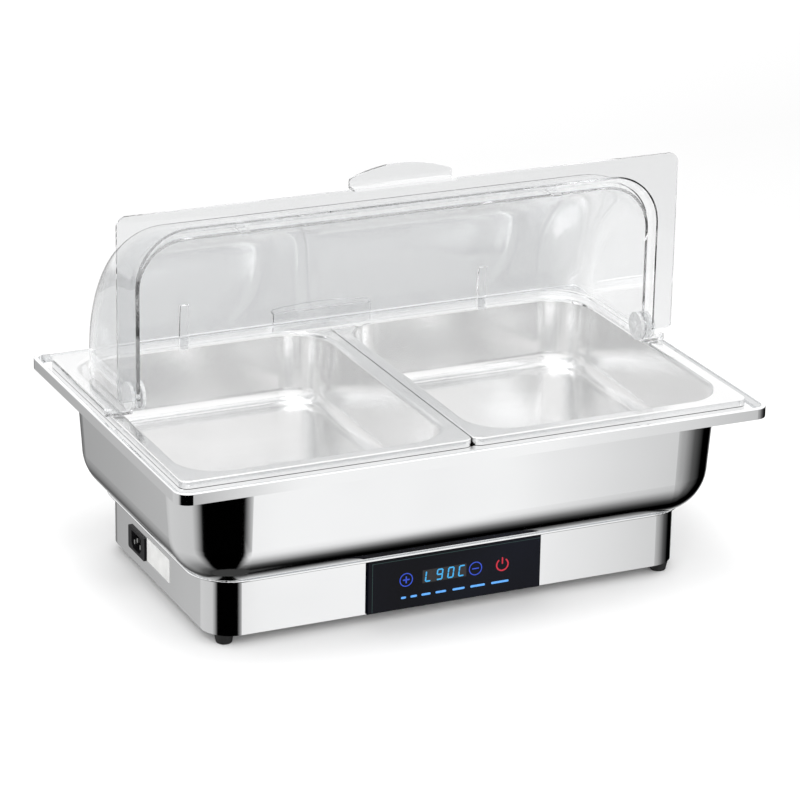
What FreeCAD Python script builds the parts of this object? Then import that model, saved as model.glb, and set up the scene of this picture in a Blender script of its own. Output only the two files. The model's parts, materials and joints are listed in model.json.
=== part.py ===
# Electric buffet warmer: a polished water tub on a skirt with a touch panel, two half-size
# food pans and a clear roll-top cover in two nested halves.
# Millimetres. +X runs along the length, the front is -Y, +Z is up.
# The origin is on the table, under the centre of the rim.
import FreeCAD, Part
import math
import os

Vector = FreeCAD.Vector
X_AXIS = Vector(1, 0, 0)
Z_AXIS = Vector(0, 0, 1)

# Food pans
pan_size_x = 264.5
pan_size_y = 325.0
pan_spacing = 1.0
pan_corner = 8.0
pan_edge_drop = 6.5
pan_flange_x = 12.6
pan_flange_y = 13.5
pan_mouth_corner = 38.0
pan_depth = 65.0
pan_draft = 0.075
pan_sheet = 0.9
pan_mouth_bend = 4.0
pan_floor_radius = 14.0
pan_edge_round = 1.2

# Gap under a pan that rests on the tub, and under the cover that rests on the pans
rest_gap = 0.3

# Smallest corner that an inset outline keeps
least_corner = 0.5

# Water tub
tub_depth = 106.7
tub_sheet = 1.0
tub_seat_x = 7.0
tub_seat_y = 2.5
tub_corner = 57.0
tub_draft = 0.068
tub_floor_radius = 42.0
tub_mouth_bend = 2.0
rim_margin_x = 7.0
rim_margin_y = 17.0
rim_corner = 13.0
rim_bead_width = 4.2
rim_bead_height = 4.8
rim_lip_drop = 10.3
rim_lip_sheet = 1.2
rim_round = 1.3

# Skirt
foot_height = 9.5
skirt_height = 49.7
skirt_inset_x = 33.0
skirt_inset_y = 32.0
skirt_corner = 27.0
skirt_sheet = 1.0
tub_sink = 1.4
seat_flange_width = 27.0
bead_flare_x = 10.0
bead_flare_y = 5.5
bead_corner = 42.0
bead_rise = 0.6
bead_height = 1.8
bead_round = 0.8
base_flange_width = 14.0

# Bottom plate and feet
plate_sheet = 1.0
plate_gap = 0.3
foot_inset_x = 16.0
foot_inset_y = 13.0
foot_top_radius = 8.8
foot_bottom_radius = 7.2
foot_round = 1.6
foot_recess_radius = 4.5
foot_recess_depth = 3.5
hole_clearance = 0.15
vent_length = 26.0
vent_width = 3.0
vent_pitch = 9.0
vent_count = 9

# Screws and nuts
foot_screw_radius = 2.0
foot_screw_head_radius = 3.6
foot_screw_head_height = 2.4
plate_screw_radius = 1.5
plate_screw_head_radius = 2.8
plate_screw_head_height = 1.6
plate_screw_length = 7.0
small_nut_flats = 5.5
small_nut_height = 2.4
large_nut_flats = 7.0
large_nut_height = 3.2
stud_radius = 1.5
stud_tail = 1.0

# Heater under the tub
spreader_end_gap = 2.0
spreader_margin_y = 47.0
spreader_thickness = 3.0
spreader_corner = 12.0
element_radius = 3.25
element_leg_margin = 30.0
element_end_margin = 74.0
contact_gap = 0.05
ceramic_radius = 5.0
ceramic_length = 14.0
terminal_width = 6.3
terminal_thickness = 0.8
terminal_length = 9.0
clamp_station_share = 0.8
clamp_stud_margin = 10.0
clamp_end_margin = 6.0
clamp_width = 14.0
clamp_thickness = 1.5
pad_thickness = 8.0
pad_drop = 2.0
pad_margin = 3.0
pad_nut_clearance = 1.5
shield_sheet = 1.0
shield_margin_x = 7.0
shield_margin_y = 4.0
shield_lip = 8.0

# Thermal cut-out and temperature probe
cutout_margin = 40.0
cutout_radius = 8.0
cutout_height = 7.5
bracket_sheet = 0.8
bracket_width = 8.0
probe_x = 45.0
probe_margin = 37.0
probe_radius = 2.5
probe_length = 30.0
probe_stud_step = 7.0
probe_clip_width = 8.0
probe_clip_sheet = 0.8

# Touch panel
glass_length = 165.5
glass_height = 49.0
glass_thickness = 2.8
glass_lift = 0.3
glass_edge = 0.7
window_margin_x = 8.0
window_margin_z = 7.0
housing_gap = 0.25
housing_depth = 13.9
housing_wall = 2.0
housing_back = 1.5
housing_flange = 4.0
housing_flange_thickness = 2.0
board_thickness = 1.6
display_board_back = 4.5
display_board_margin = 0.5
display_post_radius = 3.0
display_length = 42.0
display_height = 14.0
display_x = -10.0
display_z = 37.3
display_glass_gap = 0.4
touch_centres_x = (-46.5, 19.6, 45.5)
touch_z = 37.0
touch_spring_radius = 4.0
touch_spring_wall = 0.8
socket_depth = 4.0
socket_half = 5.0

# Power board at the right-hand end
power_board_margin_x = 56.0
power_board_width = 38.0
power_board_half_y = 60.0
power_spacer_height = 6.0
power_spacer_radius = 3.0
power_spacer_inset = 4.0
transformer_size = (26.0, 30.0, 24.0)
transformer_place = (10.0, -51.0)
relay_size = (15.0, 19.0, 15.0)
relay_place = (14.0, -18.0)
terminal_block_size = (16.0, 30.0, 12.0)
terminal_block_place = (12.0, 20.0)
terminal_block_ways = 3
terminal_hole_radius = 1.8
fuse_radius = 2.6
fuse_length = 20.0
fuse_place = (6.0, 0.0)
fuse_cap_length = 5.0
cable_socket_size = (7.0, 10.0, 6.0)
cable_socket_place = ((1.0, -52.0), (1.0, -41.0))

# Mains inlet in the left-hand end
inlet_y = 48.0
inlet_z = 30.8
inlet_plate_half_y = 20.0
inlet_plate_half_z = 10.7
inlet_plate_thickness = 1.8
inlet_plate_round = 2.0
inlet_body_half_y = 14.0
inlet_body_half_z = 9.6
inlet_body_depth = 21.0
inlet_cavity_half_y = 12.0
inlet_cavity_half_z = 8.0
inlet_cavity_chamfer = 4.5
inlet_cavity_depth = 16.0
inlet_snap = 1.4
inlet_snap_length = 6.0
inlet_snap_height = 6.0
inlet_window_gap = 0.3
pin_half_width = 1.0
pin_half_height = 2.0
pin_length = 15.0
pin_tail = 7.0
boot_depth = 10.0
boot_half_y = 12.0
boot_half_z = 8.5
pin_offsets = ((-7.0, -2.0), (7.0, -2.0), (0.0, 2.0))
rating_plate_half_y = 27.0
rating_plate_half_z = 11.0
rating_plate_y = -2.0
rating_plate_z = 33.4
rating_plate_sheet = 0.4

# Roll-top cover
cover_overhang_x = 1.0
cover_overhang_y = 3.5
cover_corner = 9.0
cover_wall = 2.5
pivot_rise = 17.4
dome_margin_x = 17.0
dome_margin_y = 24.0
dome_corner = 48.0
nest_gap = 2.0
front_base_spread = 8.6
rear_base_spread_x = 5.0
rear_base_spread_y = 7.0
rear_straight_base = 5.0
half_parting = 1.0
rear_lap = 6.0
front_lap = 4.0
arm_end_round = 4.0
peg_radius = 3.4
peg_height = 5.0
peg_offset_x = 1.4
peg_offset_y = 4.5
rib_x = 148.0
rib_width = 8.0
rib_height = 42.0
rear_rib_depth = 3.0
front_rib_depth = 1.2
tab_half = 48.5
tab_riser = 15.0
tab_end_reach = 5.5
tab_reach = 15.6
tab_round = 3.0
hub_radius = 12.0
hub_relief_gap = 1.0
pivot_radius = 4.0
pivot_gap = 0.1
pivot_side_gap = 0.3
pivot_head_radius = 13.0
pivot_head_thickness = 3.0
pivot_boss_radius = 7.0
pivot_facets = 12

# Wires
mains_lead_diameter = 6.0
mains_margin = 32.0
square_run = 13.0
mains_shares = (
    (0.080, 0.17, 5.5),
    (0.155, 0.53, 2.0),
    (0.267, 0.83, 0.0),
    (0.438, 1.00, 0.0),
    (0.626, 0.98, 0.0),
    (0.781, 0.79, 0.0),
    (0.866, 0.51, 1.0),
    (0.920, 0.17, 6.0),
)
heater_lead_diameter = 3.0
display_cable_diameter = 4.0
probe_lead_diameter = 2.5
earth_lead_diameter = 2.5
arc_share = 0.45
clip_length = 8.0
clip_wall = 2.0
clip_gap = 0.3
clip_base = 1.2
earth_margin = 40.0
earth_y = 18.0
earth_stud_radius = 2.0
earth_stud_height = 9.0
lug_radius = 4.5
lug_sheet = 0.8

# Levels and outlines worked out from the sizes above
skirt_bottom = foot_height
skirt_top = skirt_bottom + skirt_height
tub_bottom = skirt_top - tub_sink
seat_level = tub_bottom + tub_depth
rim_top = seat_level + rim_bead_height
pan_underside = seat_level + rest_gap
pan_top = pan_underside + pan_edge_drop
cover_bottom = pan_top + rest_gap
pivot_z = cover_bottom + pivot_rise

pans_half_x = pan_size_x + pan_spacing / 2
pans_half_y = pan_size_y / 2
rim_half_x = pans_half_x + rim_margin_x + rim_bead_width
rim_half_y = pans_half_y + rim_margin_y + rim_bead_width
tub_half_x = pans_half_x - tub_seat_x - tub_sheet
tub_half_y = pans_half_y - tub_seat_y - tub_sheet
skirt_half_x = tub_half_x + tub_sheet - skirt_inset_x
skirt_half_y = tub_half_y + tub_sheet - skirt_inset_y
cover_half_x = pans_half_x + cover_overhang_x
cover_half_y = pans_half_y + cover_overhang_y
dome_half_x = cover_half_x - dome_margin_x
dome_radius = cover_half_y - dome_margin_y
inner_step = cover_wall + nest_gap
plate_top = skirt_bottom + plate_sheet
floor_level = plate_top
skirt_inner_x = skirt_half_x - skirt_sheet
skirt_inner_y = skirt_half_y - skirt_sheet
element_end_x = skirt_inner_x - element_end_margin
spreader_half_y = skirt_inner_y - spreader_margin_y
element_leg_y = spreader_half_y - element_leg_margin
clamp_stations_x = (-clamp_station_share * element_end_x, 0.0, clamp_station_share * element_end_x)
clamp_stud_y = spreader_half_y - clamp_stud_margin
cutout_x = skirt_inner_x - cutout_margin
earth_x = earth_margin - skirt_inner_x
probe_y = probe_margin - skirt_inner_y
power_board_x = skirt_inner_x - power_board_margin_x


def box(x0, x1, y0, y1, z0, z1):
    """Block between two corners."""
    return Part.makeBox(x1 - x0, y1 - y0, z1 - z0, Vector(x0, y0, z0))


def rod(radius, start, end):
    """Round bar from one point to another."""
    run = Vector(*end) - Vector(*start)
    return Part.makeCylinder(radius, run.Length, Vector(*start), run)


def join(shapes):
    """One solid made of touching pieces."""
    first = shapes[0]
    return first.fuse(shapes[1:]).removeSplitter() if len(shapes) > 1 else first


def rounded_outline(half_x, half_y, corner, z, centre=(0.0, 0.0)):
    """Closed wire of a rectangle with round corners."""
    corner = max(least_corner, min(corner, half_x - least_corner, half_y - least_corner))
    edges = []
    turns = ((1, 1), (-1, 1), (-1, -1), (1, -1))
    arcs = []
    for index, (sign_x, sign_y) in enumerate(turns):
        middle = Vector(
            centre[0] + sign_x * (half_x - corner), centre[1] + sign_y * (half_y - corner), z
        )
        start = index * math.pi / 2
        points = []
        for share in (0.0, 0.5, 1.0):
            angle = start + share * math.pi / 2
            points.append(middle + Vector(math.cos(angle), math.sin(angle), 0) * corner)
        arcs.append(points)
    for index, points in enumerate(arcs):
        edges.append(Part.Arc(*points).toShape())
        following = arcs[(index + 1) % 4][0]
        edges.append(Part.LineSegment(points[2], following).toShape())
    return Part.Wire(edges)


def rounded_block(half_x, half_y, corner, z0, z1, centre=(0.0, 0.0)):
    """Upright block with round corners."""
    outline = rounded_outline(half_x, half_y, corner, z0, centre)
    return Part.Face(outline).extrude(Vector(0, 0, z1 - z0))


def loft(outlines):
    """Straight-sided solid through stacked outlines."""
    return Part.makeLoft(outlines, True, True)


def rounded_edges(shape, radius, wanted):
    """Fillet of the edges that the test picks."""
    edges = [edge for edge in shape.Edges if wanted(edge)]
    return shape.makeFillet(radius, edges)


def lies_at(level):
    """Test for an edge that lies flat at one height."""
    def test(edge):
        limits = edge.BoundBox
        return abs(limits.ZMin - level) < contact_gap and abs(limits.ZMax - level) < contact_gap
    return test


def is_upright(edge):
    """Test for a straight edge along Z."""
    limits = edge.BoundBox
    return limits.XLength < contact_gap and limits.YLength < contact_gap


def hex_nut(flats, height, bore, x, y, z):
    """Nut standing on z."""
    corner = flats / math.sqrt(3)
    points = []
    for index in range(7):
        angle = index * math.pi / 3
        points.append(Vector(x + corner * math.cos(angle), y + corner * math.sin(angle), z))
    nut = Part.Face(Part.makePolygon(points)).extrude(Vector(0, 0, height))
    return nut.cut(rod(bore, (x, y, z), (x, y, z + height)))


def drawn_well(half_x, half_y, corner, draft, top, depth, floor_radius, grow, centre):
    """Tapered well with a rounded floor, grown on all sides but its top by an amount."""
    floor = top - depth - grow
    shrink = draft * depth
    upper = rounded_outline(half_x + grow, half_y + grow, corner + grow, top - grow, centre)
    lower = rounded_outline(
        half_x - shrink + grow, half_y - shrink + grow, corner - shrink + grow, floor, centre
    )
    return rounded_edges(loft([lower, upper]), floor_radius + grow, lies_at(floor))


def drawn_form(half_x, half_y, corner, draft, top, depth, floor_radius, bend, grow, centre):
    """Space inside a drawn pan, or the space that its sheet fills when grown by the sheet."""
    level = top - grow
    well = drawn_well(half_x, half_y, corner, draft, top, depth, floor_radius, grow, centre)
    reach = 4 * bend
    slab = rounded_block(
        half_x + reach, half_y + reach, corner + reach, level, level + reach, centre
    )
    form = well.fuse(slab).removeSplitter()
    inside_x = half_x + grow + bend / 2

    def mouth(edge):
        limits = edge.BoundBox
        outer = max(abs(limits.XMin - centre[0]), abs(limits.XMax - centre[0]))
        return lies_at(level)(edge) and outer < inside_x

    return rounded_edges(form, bend - grow, mouth)


def drawn_sheet(half_x, half_y, corner, draft, top, depth, floor_radius, bend, sheet, centre):
    """Sheet-metal pan with a narrow flat collar round its mouth, still without an edge."""
    space = drawn_form(
        half_x, half_y, corner, draft, top, depth, floor_radius, bend, 0.0, centre
    )
    solid = drawn_form(
        half_x, half_y, corner, draft, top, depth, floor_radius, bend, sheet, centre
    )
    reach = 2 * bend
    collar = rounded_block(
        half_x + reach, half_y + reach, corner + reach, top - depth - sheet, top, centre
    )
    return solid.common(collar).cut(space)


def make_pan(side):
    """Half-size food pan on the left (-1) or on the right (1)."""
    centre = (side * (pan_size_x + pan_spacing) / 2, 0.0)
    half_x = pan_size_x / 2
    half_y = pan_size_y / 2
    mouth_x = half_x - pan_flange_x
    mouth_y = half_y - pan_flange_y
    well = drawn_sheet(
        mouth_x, mouth_y, pan_mouth_corner, pan_draft, pan_top, pan_depth,
        pan_floor_radius, pan_mouth_bend, pan_sheet, centre,
    )
    cap = rounded_block(half_x, half_y, pan_corner, pan_underside, pan_top, centre)
    cap = rounded_edges(cap, pan_edge_round, lies_at(pan_top))
    under = rounded_block(
        half_x - pan_sheet, half_y - pan_sheet, pan_corner - pan_sheet,
        pan_underside, pan_top - pan_sheet, centre,
    )
    reach = 2 * pan_mouth_bend
    hole = rounded_block(
        mouth_x + reach, mouth_y + reach, pan_mouth_corner + reach, pan_underside, pan_top, centre
    )
    return join([cap.cut(under).cut(hole), well])


def tub_outside():
    """Everything inside the outer face of the tub below its seat."""
    return drawn_well(
        tub_half_x, tub_half_y, tub_corner, tub_draft, seat_level, tub_depth - tub_sheet,
        tub_floor_radius - tub_sheet, tub_sheet, (0.0, 0.0),
    )


def make_tub():
    """Deep-drawn tub with a flat seat, a raised bead and a turned-down lip."""
    well = drawn_sheet(
        tub_half_x, tub_half_y, tub_corner, tub_draft, seat_level, tub_depth - tub_sheet,
        tub_floor_radius - tub_sheet, tub_mouth_bend, tub_sheet, (0.0, 0.0),
    )
    reach = 2 * tub_mouth_bend
    seat = rounded_block(
        rim_half_x - rim_lip_sheet, rim_half_y - rim_lip_sheet, rim_corner - rim_lip_sheet,
        seat_level - tub_sheet, seat_level,
    ).cut(rounded_block(
        tub_half_x + reach, tub_half_y + reach, tub_corner + reach,
        seat_level - tub_sheet, seat_level,
    ))
    bead = rounded_block(
        rim_half_x, rim_half_y, rim_corner, rim_top - rim_lip_drop, rim_top
    ).cut(rounded_block(
        rim_half_x - rim_bead_width, rim_half_y - rim_bead_width, rim_corner - rim_bead_width,
        seat_level - tub_sheet, rim_top,
    )).cut(rounded_block(
        rim_half_x - rim_lip_sheet, rim_half_y - rim_lip_sheet, rim_corner - rim_lip_sheet,
        rim_top - rim_lip_drop, seat_level - tub_sheet,
    ))
    bead = rounded_edges(bead, rim_round, lies_at(rim_top))
    return join([well, seat, bead])


def skirt_block(inset, z0, z1):
    """Block with the skirt's outline, set in by an amount."""
    return rounded_block(
        skirt_half_x - inset, skirt_half_y - inset, skirt_corner - inset, z0, z1
    )


def foot_places():
    """Centres of the four feet, front left first."""
    x = skirt_half_x - foot_inset_x
    y = skirt_half_y - foot_inset_y
    return {
        "front_left": (-x, -y), "front_right": (x, -y), "rear_left": (-x, y), "rear_right": (x, y),
    }


def plate_screw_places():
    """Screws that hold the bottom plate to the skirt's lower flange."""
    x = skirt_inner_x - base_flange_width / 2
    y = skirt_inner_y - base_flange_width / 2
    near = skirt_half_y / 3
    far = skirt_half_x / 2
    return [(side * x, step * near) for side in (-1, 1) for step in (-1, 1)] + [
        (step * far, side * y) for side in (-1, 1) for step in (-1, 0, 1)
    ]


def base_stud_places():
    """Studs that hold the tub down on the skirt's upper flange."""
    x = skirt_inner_x - seat_flange_width + stud_radius + small_nut_flats
    y = skirt_inner_y - seat_flange_width + stud_radius + small_nut_flats
    near = skirt_half_y / 2
    far = skirt_half_x / 2
    return [(side * x, step * near) for side in (-1, 1) for step in (-1, 1)] + [
        (step * far, side * y) for side in (-1, 1) for step in (-1, 1)
    ]


def make_skirt():
    """Skirt with an upper flange, a flared bead and a lower flange."""
    top = tub_bottom
    wall = skirt_block(0, skirt_bottom, skirt_top).cut(
        skirt_block(skirt_sheet, skirt_bottom, skirt_top)
    )
    upper = skirt_block(skirt_sheet, top - skirt_sheet, top).cut(
        skirt_block(skirt_sheet + seat_flange_width, top - skirt_sheet, top)
    )
    lower = skirt_block(skirt_sheet, plate_top, plate_top + skirt_sheet).cut(
        skirt_block(skirt_sheet + base_flange_width, plate_top, plate_top + skirt_sheet)
    )
    bead_x = skirt_half_x + bead_flare_x
    bead_y = skirt_half_y + bead_flare_y
    bead_bottom = skirt_top + bead_rise
    flare = loft([
        rounded_outline(skirt_half_x, skirt_half_y, skirt_corner, skirt_top),
        rounded_outline(bead_x - bead_round, bead_y - bead_round, bead_corner, bead_bottom),
    ])
    bead = rounded_block(bead_x, bead_y, bead_corner, bead_bottom, bead_bottom + bead_height)
    bead = bead.makeFillet(
        bead_round, [edge for edge in bead.Edges if lies_at(bead_bottom)(edge)
                     or lies_at(bead_bottom + bead_height)(edge)]
    )
    outside = tub_outside()
    ring = flare.fuse(bead).cut(outside)
    skirt = wall.cut(outside)
    for x, y in base_stud_places():
        upper = upper.cut(rod(stud_radius + hole_clearance, (x, y, top - skirt_sheet), (x, y, top)))
    for x, y in plate_screw_places():
        lower = lower.cut(plate_hole(plate_screw_radius, x, y))
    for x, y in foot_places().values():
        lower = lower.cut(plate_hole(foot_screw_radius, x, y))
    skirt = join([skirt, ring, upper, lower])
    return skirt.cut(panel_window()).cut(inlet_window())


def plate_hole(radius, x, y):
    """Clearance hole through the bottom plate and the flange above it."""
    return rod(
        radius + hole_clearance, (x, y, skirt_bottom), (x, y, plate_top + skirt_sheet)
    )


def make_bottom_plate():
    """Plate that closes the base, with vent slots below the boards."""
    plate = skirt_block(skirt_sheet + plate_gap, skirt_bottom, plate_top)
    for x, y in plate_screw_places():
        plate = plate.cut(plate_hole(plate_screw_radius, x, y))
    for x, y in foot_places().values():
        plate = plate.cut(plate_hole(foot_screw_radius, x, y))
    for x, y in power_spacer_places():
        plate = plate.cut(plate_hole(plate_screw_radius, x, y))
    plate = plate.cut(rod(
        earth_stud_radius + hole_clearance,
        (earth_x, earth_y, skirt_bottom), (earth_x, earth_y, plate_top),
    ))
    for side in (-1, 1):
        for index in range(vent_count):
            x = (index - (vent_count - 1) / 2) * vent_pitch
            y = side * skirt_half_y / 3
            plate = plate.cut(rounded_block(
                vent_width / 2, vent_length / 2, vent_width / 2, skirt_bottom, plate_top, (x, y)
            ))
    return plate


def make_foot(x, y):
    """Round rubber foot with a recess for its screw."""
    top = skirt_bottom
    radius = foot_bottom_radius
    corner = Vector(radius - foot_round, 0, 0)
    bend = Vector(
        radius - foot_round * (1 - math.sin(math.pi / 4)), 0,
        foot_round * (1 - math.cos(math.pi / 4)),
    )
    side = Vector(radius, 0, foot_round)
    edge = Vector(foot_top_radius, 0, top)
    edges = [
        Part.LineSegment(Vector(0, 0, 0), corner).toShape(),
        Part.Arc(corner, bend, side).toShape(),
        Part.LineSegment(side, edge).toShape(),
        Part.LineSegment(edge, Vector(0, 0, top)).toShape(),
        Part.LineSegment(Vector(0, 0, top), Vector(0, 0, 0)).toShape(),
    ]
    foot = Part.Face(Part.Wire(edges)).revolve(Vector(0, 0, 0), Z_AXIS, 360)
    foot.translate(Vector(x, y, 0))
    foot = foot.cut(rod(foot_recess_radius, (x, y, 0), (x, y, foot_recess_depth)))
    return foot.cut(rod(foot_screw_radius + hole_clearance, (x, y, 0), (x, y, top)))


def make_foot_screws():
    """Screws up through the feet."""
    screws = []
    top = plate_top + skirt_sheet + large_nut_height + stud_tail
    for x, y in foot_places().values():
        head = rod(
            foot_screw_head_radius,
            (x, y, foot_recess_depth - foot_screw_head_height), (x, y, foot_recess_depth),
        )
        screws.append(join([head, rod(foot_screw_radius, (x, y, foot_recess_depth), (x, y, top))]))
    return Part.makeCompound(screws)


def make_foot_nuts():
    """Nuts on the foot screws, on the lower flange."""
    level = plate_top + skirt_sheet
    bore = foot_screw_radius + contact_gap
    return Part.makeCompound([
        hex_nut(large_nut_flats, large_nut_height, bore, x, y, level)
        for x, y in foot_places().values()
    ])


def screws_from_below(places):
    """Small screws up through the bottom plate."""
    screws = []
    for x, y in places:
        head = rod(
            plate_screw_head_radius,
            (x, y, skirt_bottom - plate_screw_head_height), (x, y, skirt_bottom),
        )
        shank = rod(
            plate_screw_radius, (x, y, skirt_bottom), (x, y, skirt_bottom + plate_screw_length)
        )
        screws.append(join([head, shank]))
    return screws


def make_base_studs():
    """Studs welded under the tub over the upper flange."""
    low = tub_bottom - skirt_sheet - small_nut_height - stud_tail
    return Part.makeCompound([
        rod(stud_radius, (x, y, low), (x, y, tub_bottom)) for x, y in base_stud_places()
    ])


def make_base_nuts():
    """Nuts under the upper flange."""
    level = tub_bottom - skirt_sheet - small_nut_height
    return Part.makeCompound([
        hex_nut(small_nut_flats, small_nut_height, stud_radius + contact_gap, x, y, level)
        for x, y in base_stud_places()
    ])


# Levels of the heater stack, from the tub's floor down
spreader_half_x = element_end_x - spreader_end_gap
spreader_bottom = tub_bottom - spreader_thickness
element_z = spreader_bottom - contact_gap - element_radius
clamp_top = element_z - element_radius - contact_gap
clamp_bottom = clamp_top - clamp_thickness
clamp_nut_bottom = clamp_bottom - small_nut_height
pad_top = clamp_bottom - pad_drop
pad_bottom = pad_top - pad_thickness
shield_bottom = pad_bottom - shield_sheet
shield_nut_bottom = shield_bottom - small_nut_height


def heater_stud_places():
    """Studs through the clamp bars."""
    return [(x, side * clamp_stud_y) for x in clamp_stations_x for side in (-1, 1)]


def drilled(shape, places, radius, z0, z1):
    """Shape with upright round holes at the given places."""
    for x, y in places:
        shape = shape.cut(rod(radius, (x, y, z0), (x, y, z1)))
    return shape


def make_spreader():
    """Aluminium plate that spreads the heat under the tub."""
    plate = rounded_block(
        spreader_half_x, spreader_half_y, spreader_corner, spreader_bottom, tub_bottom
    )
    return drilled(
        plate, heater_stud_places(), stud_radius + hole_clearance, spreader_bottom, tub_bottom
    )


def make_element():
    """Tubular heating element bent to a U, with its ends to the right."""
    y = element_leg_y
    turn_x = -element_end_x + element_leg_y
    start = Vector(element_end_x, -y, element_z)
    bend_start = Vector(turn_x, -y, element_z)
    bend_middle = Vector(turn_x - y, 0, element_z)
    bend_end = Vector(turn_x, y, element_z)
    end = Vector(element_end_x, y, element_z)
    path = Part.Wire([
        Part.LineSegment(start, bend_start).toShape(),
        Part.Arc(bend_start, bend_middle, bend_end).toShape(),
        Part.LineSegment(bend_end, end).toShape(),
    ])
    profile = Part.Wire(Part.makeCircle(element_radius, start, X_AXIS))
    return path.makePipeShell([profile], True, False)


def make_ceramics():
    """Ceramic ends of the element."""
    x0 = element_end_x
    x1 = x0 + ceramic_length
    return Part.makeCompound([
        rod(ceramic_radius, (x0, side * element_leg_y, element_z), (x1, side * element_leg_y, element_z))
        for side in (-1, 1)
    ])


def make_element_terminals():
    """Flat tabs out of the ceramic ends."""
    x0 = element_end_x + ceramic_length
    tabs = []
    for side in (-1, 1):
        y = side * element_leg_y
        tabs.append(box(
            x0, x0 + terminal_length, y - terminal_width / 2, y + terminal_width / 2,
            element_z - terminal_thickness / 2, element_z + terminal_thickness / 2,
        ))
    return Part.makeCompound(tabs)


def make_heater_studs():
    """Studs welded under the tub that carry the heater and the shield."""
    low = shield_nut_bottom - stud_tail
    return Part.makeCompound([
        rod(stud_radius, (x, y, low), (x, y, tub_bottom)) for x, y in heater_stud_places()
    ])


def make_clamp_bars():
    """Bars that press the element against the spreader."""
    bars = []
    reach = clamp_stud_y + clamp_end_margin
    for x in clamp_stations_x:
        bar = box(
            x - clamp_width / 2, x + clamp_width / 2, -reach, reach, clamp_bottom, clamp_top
        )
        places = [(x, side * clamp_stud_y) for side in (-1, 1)]
        bars.append(drilled(bar, places, stud_radius + hole_clearance, clamp_bottom, clamp_top))
    return Part.makeCompound(bars)


def nuts_on_heater_studs(level):
    """A nut on every heater stud."""
    return Part.makeCompound([
        hex_nut(small_nut_flats, small_nut_height, stud_radius + contact_gap, x, y, level)
        for x, y in heater_stud_places()
    ])


def make_pad():
    """Insulation pad over the shield, drilled over the clamp nuts."""
    half_x = spreader_half_x - pad_margin
    half_y = spreader_half_y - pad_margin
    pad = rounded_block(half_x, half_y, spreader_corner, pad_bottom, pad_top)
    radius = small_nut_flats / math.sqrt(3) + pad_nut_clearance
    return drilled(pad, heater_stud_places(), radius, pad_bottom, pad_top)


def make_shield():
    """Tray under the insulation pad."""
    half_x = spreader_half_x + shield_margin_x
    half_y = spreader_half_y + shield_margin_y
    top = pad_bottom + shield_lip
    tray = rounded_block(half_x, half_y, spreader_corner, shield_bottom, top)
    tray = tray.cut(rounded_block(
        half_x - shield_sheet, half_y - shield_sheet, spreader_corner - shield_sheet,
        pad_bottom, top,
    ))
    return drilled(
        tray, heater_stud_places(), stud_radius + hole_clearance, shield_bottom, pad_bottom
    )


def cutout_level():
    """Underside of the thermal cut-out."""
    return tub_bottom - cutout_height


def make_cutout():
    """Disc thermal cut-out against the tub, with its two tabs."""
    low = cutout_level()
    body = rod(cutout_radius, (cutout_x, 0, low), (cutout_x, 0, tub_bottom))
    tabs = box(
        cutout_x - terminal_width / 2, cutout_x + terminal_width / 2,
        -cutout_radius - terminal_length / 2, cutout_radius + terminal_length / 2,
        low + bracket_sheet, low + bracket_sheet + terminal_thickness,
    )
    return join([body, tabs])


def make_cutout_bracket():
    """Strap that holds the cut-out up, with its two studs and nuts."""
    low = cutout_level() - bracket_sheet
    reach = cutout_radius + small_nut_flats
    strap = box(
        cutout_x - reach, cutout_x + reach, -bracket_width / 2, bracket_width / 2,
        low, low + bracket_sheet,
    )
    pieces = []
    for side in (-1, 1):
        x = cutout_x + side * (cutout_radius + small_nut_flats / 2)
        strap = strap.cut(rod(stud_radius + contact_gap, (x, 0, low), (x, 0, low + bracket_sheet)))
        stud_low = low - small_nut_height - stud_tail
        pieces.append(rod(stud_radius, (x, 0, stud_low), (x, 0, tub_bottom)))
        pieces.append(hex_nut(
            small_nut_flats, small_nut_height, stud_radius + contact_gap,
            x, 0, low - small_nut_height,
        ))
    return Part.makeCompound([strap] + pieces)


def make_probe():
    """Temperature probe along the tub's floor."""
    z = tub_bottom - contact_gap - probe_radius
    return rod(
        probe_radius,
        (probe_x - probe_length / 2, probe_y, z), (probe_x + probe_length / 2, probe_y, z),
    )


def make_probe_clip():
    """Strap under the probe on a stud of the tub."""
    top = tub_bottom - 2 * probe_radius - 2 * contact_gap
    low = top - probe_clip_sheet
    stud_y = probe_y + probe_stud_step
    strap = box(
        probe_x - probe_clip_width / 2, probe_x + probe_clip_width / 2,
        probe_y - probe_radius, stud_y + small_nut_flats / 2, low, top,
    )
    strap = strap.cut(rod(stud_radius + contact_gap, (probe_x, stud_y, low), (probe_x, stud_y, top)))
    stud_low = low - small_nut_height - stud_tail
    stud = rod(stud_radius, (probe_x, stud_y, stud_low), (probe_x, stud_y, tub_bottom))
    nut = hex_nut(
        small_nut_flats, small_nut_height, stud_radius + contact_gap,
        probe_x, stud_y, low - small_nut_height,
    )
    return Part.makeCompound([strap, stud, nut])


# Touch panel, all placed from the skirt's front face
front_face = -skirt_half_y
glass_bottom = skirt_bottom + glass_lift
glass_top = glass_bottom + glass_height
window_half_x = glass_length / 2 - window_margin_x
window_bottom = glass_bottom + window_margin_z
window_top = glass_top - window_margin_z
housing_half_x = window_half_x - housing_gap
housing_bottom = window_bottom + housing_gap
housing_top = window_top - housing_gap
housing_rear = front_face + housing_depth
pocket_rear = housing_rear - housing_back
board_rear = pocket_rear - display_board_back
board_front = board_rear - board_thickness


def panel_window():
    """Hole in the skirt behind the glass."""
    return box(
        -window_half_x, window_half_x, front_face - skirt_sheet, front_face + 2 * skirt_sheet,
        window_bottom, window_top,
    )


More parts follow.
